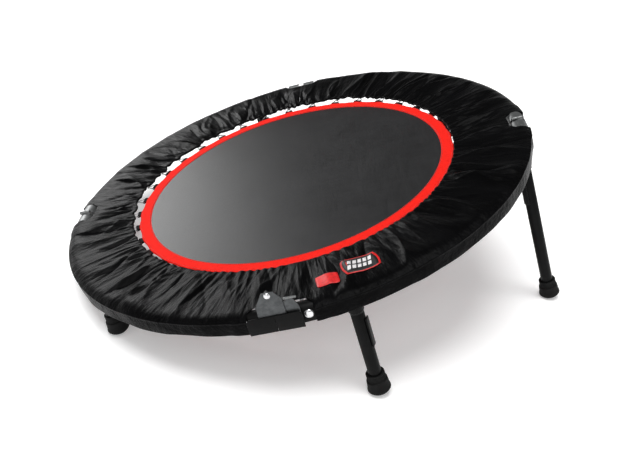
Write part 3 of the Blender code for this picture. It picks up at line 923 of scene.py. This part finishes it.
def frame_tube(quarter, start):
    """A quarter of the ring, open at both ends."""
    gap = END_GAP / RING_R
    angles = np.linspace(start + gap, start + math.pi / 2 - gap, 73)
    rings = [from_tube(arc(radius, 0, 360, TUBE_SIDES)[:-1])
             for radius in (TUBE_R, TUBE_R - TUBE_WALL)]
    outer, inner = (ring_sweep(ring, angles, closed=True) for ring in rings)
    points, faces = joined([outer, (inner[0], [face[::-1] for face in inner[1]])])
    across = len(angles)
    shift = TUBE_SIDES * across
    for end in (0, across - 1):
        for side in range(TUBE_SIDES):
            first = side * across + end
            second = (side + 1) % TUBE_SIDES * across + end
            faces.append((first, second, second + shift, first + shift))
    placed(make_piece("ring_" + quarter, (points, faces), PAINT), quarter, "frame_tube_" + quarter)


# Springs --------------------------------------------------

SPRING_COUNT = 36
FIRST_SPRING = math.radians(5)
LOOP_HALF = 0.0092
LOOP_THICK = 0.0011
COIL_R = 0.0046
WIRE_R = 0.0009
COIL_START = 0.3850
COIL_END = 0.4600
COIL_PITCH = 0.0027
HOOK_END = 0.4790
RING_BAR = 0.3585
RING_TIP = 0.3800


def coil_path(matrix):
    """Wire of one spring: a small hook, the coil, and a hook into the tube."""
    turns = (COIL_END - COIL_START) / COIL_PITCH
    count = int(turns * 10)
    turn = np.linspace(0, 2 * math.pi * turns, count)
    coil = np.stack([np.linspace(COIL_START, COIL_END, count), COIL_R * np.cos(turn),
                     COIL_R * np.sin(turn)], -1)
    inner = [(x, 0.0008, z) for x, z in reversed(arc(0.0042, 0, 250, 8, (RING_TIP + 0.0010, 0.0)))]
    outer = [(COIL_END + 0.004, 0.0, 0.0012), (HOOK_END - 0.010, 0.0, 0.0022),
             (HOOK_END - 0.003, 0.0, 0.0020), (HOOK_END, 0.0, -0.0006)]
    return np.array([matrix @ Vector(point) for point in np.vstack([inner, coil, outer])])


def triangle_ring(matrix):
    """Wire triangle that joins a webbing loop to its spring."""
    corners = np.array([(RING_BAR, -0.0095), (RING_BAR, 0.0095), (RING_TIP, 0.0)])
    path = [here + (after - here) * share for here, after in zip(corners, np.roll(corners, -1, 0))
            for share in (0.10, 0.5, 0.90)]
    return swept([matrix @ Vector((x, y, 0.0)) for x, y in path], 0.0012, 8, closed=True, up=NORMAL)


def webbing_loop(matrix):
    """Tab of tape from under the band, round the bar of the triangle and back."""
    outside = folded_tape(0.0)
    loop = outside + folded_tape(LOOP_THICK)[::-1]
    rows = [[matrix @ Vector((x, share * LOOP_HALF, z)) for x, z in loop]
            for share in (-1, -0.96, 0.96, 1)]
    count = len(loop)
    faces = grid_faces(4, count, close_columns=True)
    for row in (0, 3):
        ends = list(range(row * count, row * count + count))
        faces += loop_cap(ends[:len(outside)], ends[len(outside):][::-1])
    return np.array([point for row in rows for point in row]), faces


def folded_tape(depth):
    """Outline of the loop, this far inside its outer face."""
    above = [(0.3400, 0.0014 - depth), (0.3521, 0.0016 - depth)]
    if depth == 0:
        above.append((RING_BAR - 0.0005, 0.0027))
    below = [(x, -z) for x, z in reversed(above)]
    return above + [(RING_BAR + x, z) for x, z in arc(0.0027 - depth, 80, -80, 6)] + below


def loop_cap(outer, inner):
    """Faces that close the flat side of a folded tape."""
    faces = []
    steps = len(outer) - 1
    for i in range(steps):
        j = round(i * (len(inner) - 1) / steps)
        k = round((i + 1) * (len(inner) - 1) / steps)
        corners = [outer[i], outer[i + 1], inner[k]]
        if j != k:
            corners.append(inner[j])
        faces.append(tuple(corners))
    return faces


def springs(quarter, start):
    """Nine springs with their triangles, and the nine webbing loops that they pull on."""
    metal, tape = [], []
    for i in range(SPRING_COUNT // 4):
        matrix = ring_frame(start + FIRST_SPRING + 2 * math.pi * i / SPRING_COUNT, radius=0.0)
        metal += [swept(coil_path(matrix), WIRE_R, 6), triangle_ring(matrix)]
        tape.append(webbing_loop(matrix))
    coils = make_piece("coil_springs_" + quarter, joined(metal), SPRING)
    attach(coils, quarter)
    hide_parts("springs_" + quarter)
    placed(make_piece("webbing_loops_" + quarter, joined(tape), BLACK_WEBBING), quarter, degrees=50)


# Legs -----------------------------------------------------

LEG_R = 0.0122
TIP_DOME = 0.026
TIP_R = 0.0215
SOLE_PRESS = 0.0015
SOCKET_R = 0.0140
SOCKET_TOP = 0.0095
SOCKET_MOUTH = 0.030
SHOULDER = 0.0223
STEM_R = 0.0050
STEM_HOLE_R = 0.0053
LEG_PLAY = 0.0003


def leg_axes(name):
    """Top of the leg on the ring's centre line, the way down it, and the way outward."""
    quarter, degrees = LEGS[name]
    place, outward, _ = ring_axes(math.radians(degrees))
    down = Vector(JOINTS["unscrew_leg_" + name]["axis"]).normalized()
    return quarter, place, down, (outward - down * outward.dot(down)).normalized()


def leg(name):
    """Socket, screwed-in leg, rubber foot and, on the longer legs, a latch bar."""
    quarter, top, down, outward = leg_axes(name)
    body = "leg_" + name
    dome = (top.z - TIP_DOME + SOLE_PRESS) / -down.z
    socket = [turned(top, down, socket_profile(), 48, outward), weld_bead(top, down, outward)]
    placed(make_piece("leg_mount_" + name, joined(socket), PAINT), quarter, "leg_socket_" + name)
    shaft = turned(top, down, shaft_profile(dome), 48, outward)
    placed(make_piece("leg_shaft_" + name, shaft, PAINT), body, "leg_tube_" + name, degrees=50)
    points, faces = turned(top + down * dome, down, tip_profile(), 64, outward)
    points[:, 2] = np.maximum(points[:, 2], 0.0)
    placed(make_piece("leg_foot_" + name, (points, faces), RUBBER), body, "rubber_tip_" + name,
           degrees=60)
    if name not in ("left_front", "left_back"):
        refined("leg_strip_" + name, "leg_bar_" + name, PAINT, 0.0009, body)


def socket_profile():
    """Short tube welded under the ring, with a rolled lip at its mouth."""
    bore = LEG_R + LEG_PLAY
    lip = [(SOCKET_MOUTH + 0.0004 * math.sin(t), SOCKET_R - 0.0009 + 0.0009 * math.cos(t))
           for t in (0.0, 0.8, 1.57)]
    return [(SOCKET_TOP, STEM_HOLE_R), (SOCKET_TOP, SOCKET_R), *lip, (SOCKET_MOUTH, bore),
            (SHOULDER - 0.0005, bore), (SHOULDER - 0.0005, STEM_HOLE_R), (SOCKET_TOP, STEM_HOLE_R)]


def weld_bead(top, down, outward):
    """Rippled bead where the socket meets the ring tube."""
    side = down.cross(outward)
    path, sizes = [], []
    for i in range(96):
        turn = 2 * math.pi * i / 96
        across, along = math.cos(turn), math.sin(turn)
        reach = SOCKET_R + 0.0003
        drop = math.sqrt(max((TUBE_R + 0.0004) ** 2 - (reach * across) ** 2, 0.0))
        drop = max(drop, 0.0100)
        path.append(top + outward * reach * across + side * reach * along + down * drop)
        sizes.append(0.0013 + 0.00035 * math.sin(24 * turn) + 0.0002 * math.sin(7 * turn))
    return swept(path, np.array(sizes), 8, closed=True, up=down)


def shaft_profile(dome):
    """Screwed-in leg: threaded stem, rolled shoulder, groove and long tube."""
    profile = [(0.0150, 0.0), (0.0150, 0.0040)]
    for i in range(7):
        start = 0.0154 + 0.001 * i
        profile += [(start, 0.0044), (start + 0.0005, STEM_R)]
    profile += [(SHOULDER, STEM_R), (SHOULDER, LEG_R - 0.0010),
                (SHOULDER + 0.0003, LEG_R - 0.0003), (SHOULDER + 0.0010, LEG_R)]
    profile += [(0.0335, LEG_R), (0.0341, LEG_R - 0.0005), (0.0353, LEG_R - 0.0005),
                (0.0359, LEG_R)]
    return profile + [(dome + 0.0040, LEG_R), (dome + 0.0040, 0.0)]


def tip_profile():
    """Rubber foot, from its dome's centre: ringed collar, waist, cup and rounded sole."""
    bore = LEG_R + LEG_PLAY
    profile = [(0.0041, 0.0), (0.0041, bore), (-0.0200, bore), (-0.0205, 0.0132),
               (-0.0205, 0.0162), (-0.0198, 0.0172)]
    for i in range(3):
        start = -0.0180 + 0.0032 * i
        profile += [(start, 0.0172), (start + 0.0006, 0.0165), (start + 0.0016, 0.0165),
                    (start + 0.0022, 0.0172)]
    profile += [(-0.0082, 0.0170), (-0.0070, 0.0160), (-0.0062, 0.0163), (-0.0050, 0.0192)]
    rim = math.asin(TIP_R / TIP_DOME)
    cup = TIP_DOME * math.cos(rim) - 0.006
    profile += [(cup + 0.001 * i, TIP_R - 0.0012 * (1 - i / 5) ** 2) for i in range(5)]
    turns = [rim * (1 - i / 12) for i in range(12)]
    profile += [(TIP_DOME * math.cos(turn), TIP_DOME * math.sin(turn)) for turn in turns]
    return profile + [(TIP_DOME, 0.0)]


def mesh_joined(mesh):
    """Joins the split corners of a loaded CAD mesh and its flat triangles."""
    with editing(mesh) as edit:
        bmesh.ops.remove_doubles(edit, verts=edit.verts, dist=1e-5)
        bmesh.ops.dissolve_limit(edit, angle_limit=math.radians(1.0), verts=edit.verts,
                                 edges=edit.edges)


# Hinges ---------------------------------------------------

LEAF_R = 0.0150
LEAF_THICK = 0.0018
LEAF_CHEEK = 0.0080
LEAF_LENGTH = math.radians(90) / 12
EAR_INNER = (0.0158, 0.0183)
EAR_OUTER = (0.0188, 0.0213)
COVER = (0.0218, 0.0236)
PIN_R = 0.0018
HINGES = {"right": (RIGHT, "front_right", "back_right"), "back": (BACK, "back_right", "back_left"),
          "left": (LEFT, "back_left", "front_left"), "front": (FRONT, "front_left", "front_right")}


def refined(node_name, piece_name, material, width, body):
    """A copy of a CAD solid with joined flats and soft edges, which takes the solid's place."""
    piece = new_object(piece_name, frame["nodes"][node_name].data.copy())
    mesh_joined(piece.data)
    piece.data.materials.clear()
    piece.data.materials.append(material)
    bevelled(piece, width)
    placed(piece, body, node_name)


def plate(name, quarter, outline, low, high, material, width=0.0005):
    """A flat plate beside the front hinge, with soft edges."""
    piece = make_piece(name, prism(ring_frame(FRONT), outline, low, high), material)
    bevelled(piece, width, 3)
    placed(piece, quarter)


# Start and end, in degrees from outward, of the plate over each leaf, and its drop outside
STRAPS = {"right": (152, 0, 0.009), "left": (152, 0, 0.009), "back": (150, 55, None)}
STRAP_R = 0.0182
STRAP_SPAN = (0.0064, 0.0345)


def strap(hinge_name, hinge, quarter, side):
    """Thin plate that caps a leaf beside the barrels, closed all round."""
    first, last, drop = STRAPS[hinge_name]
    edge = arc(STRAP_R, first, last, 24)
    if drop is not None:
        edge.append((STRAP_R, -drop))
    angles = hinge + side * np.linspace(*STRAP_SPAN, 9) / RING_R
    shape = ring_sweep(from_tube(edge), angles)
    piece = make_piece(f"strap_{hinge_name}_{quarter}", shape, ZINC)
    solidified(piece, LEAF_THICK, -1.0)
    bevelled(piece, 0.0004)
    placed(piece, quarter)


def front_leaf(quarter, side):
    """Black saddle over the end of the tube, closed all round."""
    gap = END_GAP / RING_R
    angles = np.linspace(FRONT + side * gap, FRONT + side * (gap + LEAF_LENGTH), 13)
    outline = [(-LEAF_R, -LEAF_CHEEK), *arc(LEAF_R, 180, 0, 24), (LEAF_R, -2 * LEAF_CHEEK)]
    piece = make_piece("front_saddle_" + quarter, ring_sweep(from_tube(outline), angles), PAINT)
    solidified(piece, LEAF_THICK, -1.0)
    piece.data.shade_smooth()
    placed(piece, quarter, "hinge_front_leaf_" + quarter)


def front_hinge():
    """Tall hinge: black brackets on the tube and two grey plates that turn on one bolt."""
    for quarter, side, end in (("front_right", 1, 0.046), ("front_left", -1, 0.049)):
        front_leaf(quarter, side)
        foot = [(0.003, -0.007), (0.043, -0.007), (0.043, 0.007), (0.003, 0.007)]
        cover = [(0.0002, -0.0165), (end, -0.0165), (end, 0.012), (0.043, 0.0165),
                 (0.0002, 0.0165)]
        foot, cover = ([(side * y, z) for y, z in outline] for outline in (foot, cover))
        plate("front_foot_" + quarter, quarter, foot, LEAF_R, COVER[0] + 0.0001, PAINT)
        plate("front_cover_" + quarter, quarter, cover, *COVER, PAINT, 0.0006)
    dome = [(0.0215, 0.016), (0.0215, 0.048), (0.011, 0.0625), (-0.009, 0.0625), (-0.025, 0.037),
            (-0.028, -0.008), (-0.004, -0.008), (-0.003, 0.014)]
    # Painted shade: the upright front plates take the darker copy of the zinc.
    plate("front_dome_plate", "front_left", dome, *EAR_OUTER, SHADED_ZINC, 0.0008)
    arm = [(0.003, -0.008), (0.038, -0.008), (0.044, 0.004), (0.0445, 0.024), (0.038, 0.041),
           (0.027, 0.041), (0.018, 0.034), *arc(0.0055, -60, 200, 14, (0.0, HIGH_PIVOT))]
    plate("front_arm_plate", "front_right", arm, *EAR_INNER, SHADED_ZINC, 0.0006)
    # Painted highlight: a bar in the lighter zinc along the arm plate's top, where its top edge
    # catches the light.
    bar = [(0.0225, 0.0415), (0.0445, 0.0415), (0.0445, 0.0445), (0.0225, 0.0445)]
    plate("front_arm_highlight_bar", "front_right", bar, EAR_INNER[0] - 0.0004, EAR_INNER[1] + 0.0002, ZINC)
    pivot_bolt()


def pivot_bolt():
    """Domed bolt through both front plates, with a nut inside."""
    place, outward, _ = ring_axes(FRONT, height=HIGH_PIVOT)
    inside, seat = EAR_INNER[0] - 0.0003, EAR_OUTER[1] + 0.0003
    bolt = [(0.0245, 0.0), (0.0244, 0.0026), (0.0238, 0.0044), (0.0228, 0.0055), (0.0221, 0.0058),
            (seat, 0.0058), (seat, 0.0038), (inside, 0.0038), (inside, 0.0)]
    nut = [(inside, 0.0), (inside, 0.0055), (0.0132, 0.0055), (0.0128, 0.0050), (0.0128, 0.0)]
    placed(make_piece("front_pivot_bolt", turned(place, outward, bolt, 40), BRIGHT), "front_right",
           "hinge_front_pivot_bolt")
    placed(make_piece("front_pivot_nut", turned(place, outward, nut, 40), PAINT), "front_right")


def fixing_bolt(hinge_name, hinge, quarter, side):
    """Dome-headed bolt through a leaf and the tube."""
    half = (math.pi / 2 - 2 * END_GAP / RING_R) / 24
    middle = END_GAP / RING_R + half
    place, outward, along = ring_axes(hinge + side * middle, RING_R * math.cos(half))
    origin = place + along * side * (BOLT_T - middle * RING_R)
    seat = LEAF_R + 0.0003
    head = [(0.0036, 0.0), (0.0035, 0.0026), (0.0030, 0.0052), (0.0020, 0.0073),
            (0.0010, 0.0083), (0.0, 0.0084), (0.0, 0.0040)]
    nut = [(0.0, 0.0040), (0.0, 0.0060), (0.0030, 0.0059), (0.0042, 0.0045), (0.0045, 0.0)]
    profile = [(seat + x, radius) for x, radius in head] + [(-seat - x, radius) for x, radius in nut]
    name = f"{hinge_name}_bolt_{quarter}"
    placed(make_piece("round_" + name, turned(origin, outward, profile, 40), BRIGHT), quarter,
           "hinge_" + name)


def low_pin(hinge_name, hinge, height, quarter):
    """Round pin through the barrels of a low hinge, with a head at each end."""
    place, outward, _ = ring_axes(hinge, height=height)
    half = [(0.0125, 0.0), (0.0125, 0.0026), (0.0121, 0.0030), (0.0113, 0.0030), (0.0113, PIN_R)]
    profile = half + [(-distance, radius) for distance, radius in reversed(half)]
    # Painted shade: the pin takes the darker copy of the zinc.
    placed(make_piece(f"round_{hinge_name}_pin", turned(place, outward, profile, 32), SHADED_ZINC),
           quarter, f"hinge_{hinge_name}_pin")


def hinges():
    for name, (angle, before, after) in HINGES.items():
        for quarter, side in ((before, -1), (after, 1)):
            fixing_bolt(name, angle, quarter, side)
            if name != "front":
                refined(f"hinge_{name}_leaf_{quarter}", f"leaf_{name}_{quarter}", ZINC, 0.0003,
                        quarter)
                strap(name, angle, quarter, side)
        if name != "front":
            low_pin(name, angle, BACK_PIVOT if name == "back" else LOW_PIVOT, before)
    front_hinge()


# Studio ---------------------------------------------------

CAMERA_PLACE = Vector((-0.3595, -1.506, 0.8847))
CAMERA_AIM = Vector((-0.0479, -0.282, 0.203))
CAMERA_ROLL = math.radians(3.13)
CAMERA_LENS = 43.72
CAMERA_SENSOR = 36.0
LIGHT_AIM = (0.0, 0.0, 0.15)
FLOOR_R = 80.0


def put_in_studio(data, place, aim):
    """A camera or light at a place, turned to its aim."""
    thing = new_object(data.name, data)
    thing.location = place
    thing.rotation_mode = "QUATERNION"
    thing.rotation_quaternion = (Vector(aim) - Vector(place)).to_track_quat("-Z", "Y")
    return thing


def add_camera():
    data = bpy.data.cameras.new("camera")
    data.lens = CAMERA_LENS
    data.sensor_width = CAMERA_SENSOR
    camera = put_in_studio(data, CAMERA_PLACE, CAMERA_AIM)
    camera.rotation_quaternion = camera.rotation_quaternion @ Quaternion((0, 0, 1), CAMERA_ROLL)
    bpy.context.scene.camera = camera


def add_floor():
    angles = around(64)
    points = FLOOR_R * np.stack([np.cos(angles), np.sin(angles), 0 * angles], -1)
    make_piece("studio_floor", (points, [tuple(range(64))]), floor_paper())


def add_light(name, kind, place, power, **settings):
    data = bpy.data.lights.new(name, kind)
    data.energy = power
    for setting, value in settings.items():
        setattr(data, setting, value)
    put_in_studio(data, place, LIGHT_AIM)


def add_world():
    """Dim room above a bright horizon, so that the floor has no visible end."""
    world = bpy.data.worlds.new("studio")
    world.use_nodes = True
    tree = world.node_tree
    direction = add_node(tree, "ShaderNodeTexCoord").outputs["Generated"]
    rise = add_node(tree, "ShaderNodeSeparateXYZ", {0: direction}).outputs["Z"]
    color = ramp(tree, rise, (0.10, grey(1.0)), (0.24, grey(0.10)))
    tree.links.new(color, tree.nodes["Background"].inputs["Color"])
    bpy.context.scene.world = world


def add_studio():
    add_world()
    bpy.context.scene.view_settings.view_transform = "Standard"
    add_light("overhead", "SUN", (-0.3, -0.3, 3.0), 2.3, angle=math.radians(32))
    add_light("front_left", "SUN", (-1.6, -2.0, 2.5), 0.7, angle=math.radians(50))
    add_light("front_right", "SUN", (1.7, -1.8, 2.3), 0.5, angle=math.radians(50))
    add_light("back_left_card", "AREA", (-1.35, 2.75, 1.20), 36.0, shape="RECTANGLE",
              size=1.2, size_y=0.6)
    add_floor()
    add_camera()


# Assembly -------------------------------------------------


def declare_mat():
    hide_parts("mat_front_right", "mat_back_right")
    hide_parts("mat_front_left", "mat_back_left")


def declare_skirt(pieces):
    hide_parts("skirt_front_right", "skirt_back_right")
    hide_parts("skirt_front_left", "skirt_back_left")


def build():
    for quarter, start in QUARTERS.items():
        frame_tube(quarter, start)
        springs(quarter, start)
    for name in LEGS:
        leg(name)
    hinges()

    mats = jumping_mat()
    bands = split_at_folds(red_band(), "band")
    for piece in bands.values():
        piece.data.shade_smooth()
    stitches = [stitch_row("inner_stitches", BAND_INNER + 0.0022, DARK_THREAD),
                stitch_row("outer_stitches", BAND_OUTER - 0.0030, RED_THREAD)]
    skirts, surface = skirt()
    labels(surface)
    declare_mat()
    declare_skirt(skirts)
    for pieces in (mats, bands, skirts, *stitches):
        blend_pieces(pieces)
    add_studio()


build()
